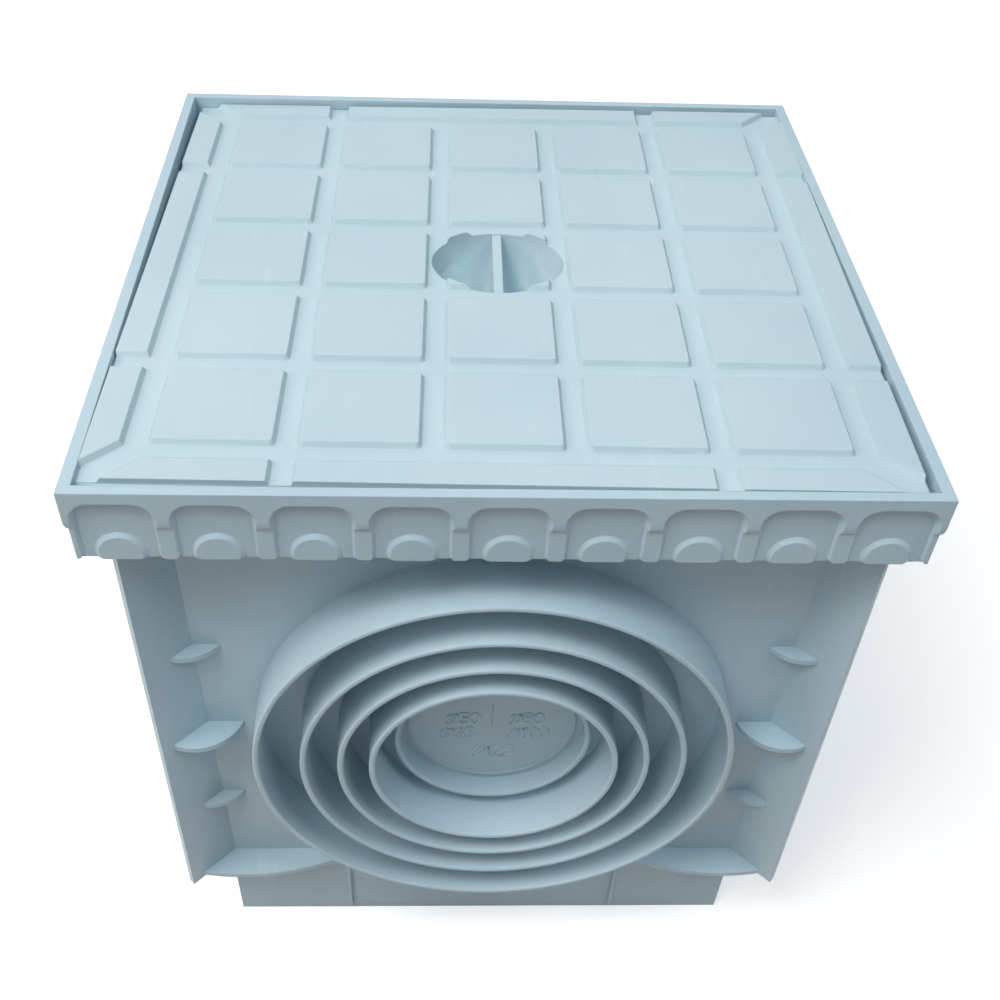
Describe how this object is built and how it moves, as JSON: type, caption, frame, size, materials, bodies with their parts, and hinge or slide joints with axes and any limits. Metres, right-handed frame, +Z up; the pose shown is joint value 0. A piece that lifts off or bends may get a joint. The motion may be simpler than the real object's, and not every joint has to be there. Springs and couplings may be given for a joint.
{
  "type": "drain inspection chamber",
  "caption": "Square moulded drain inspection chamber with an arched rim, stepped round pipe sockets on its sides and a studded lid with a sunken handle.",
  "frame": {"origin": "centre of the foot's underside", "axes": "+Z up, -Y the face that the picture shows, +X to its right"},
  "size_m": [0.192, 0.192, 0.2],
  "materials": {
    "chamber_plastic": "satin",
    "lid_plastic": "satin"
  },
  "bodies": {
    "root": {"chamber": "chamber_plastic", "lid": "lid_plastic"}
  },
  "joints": []
}
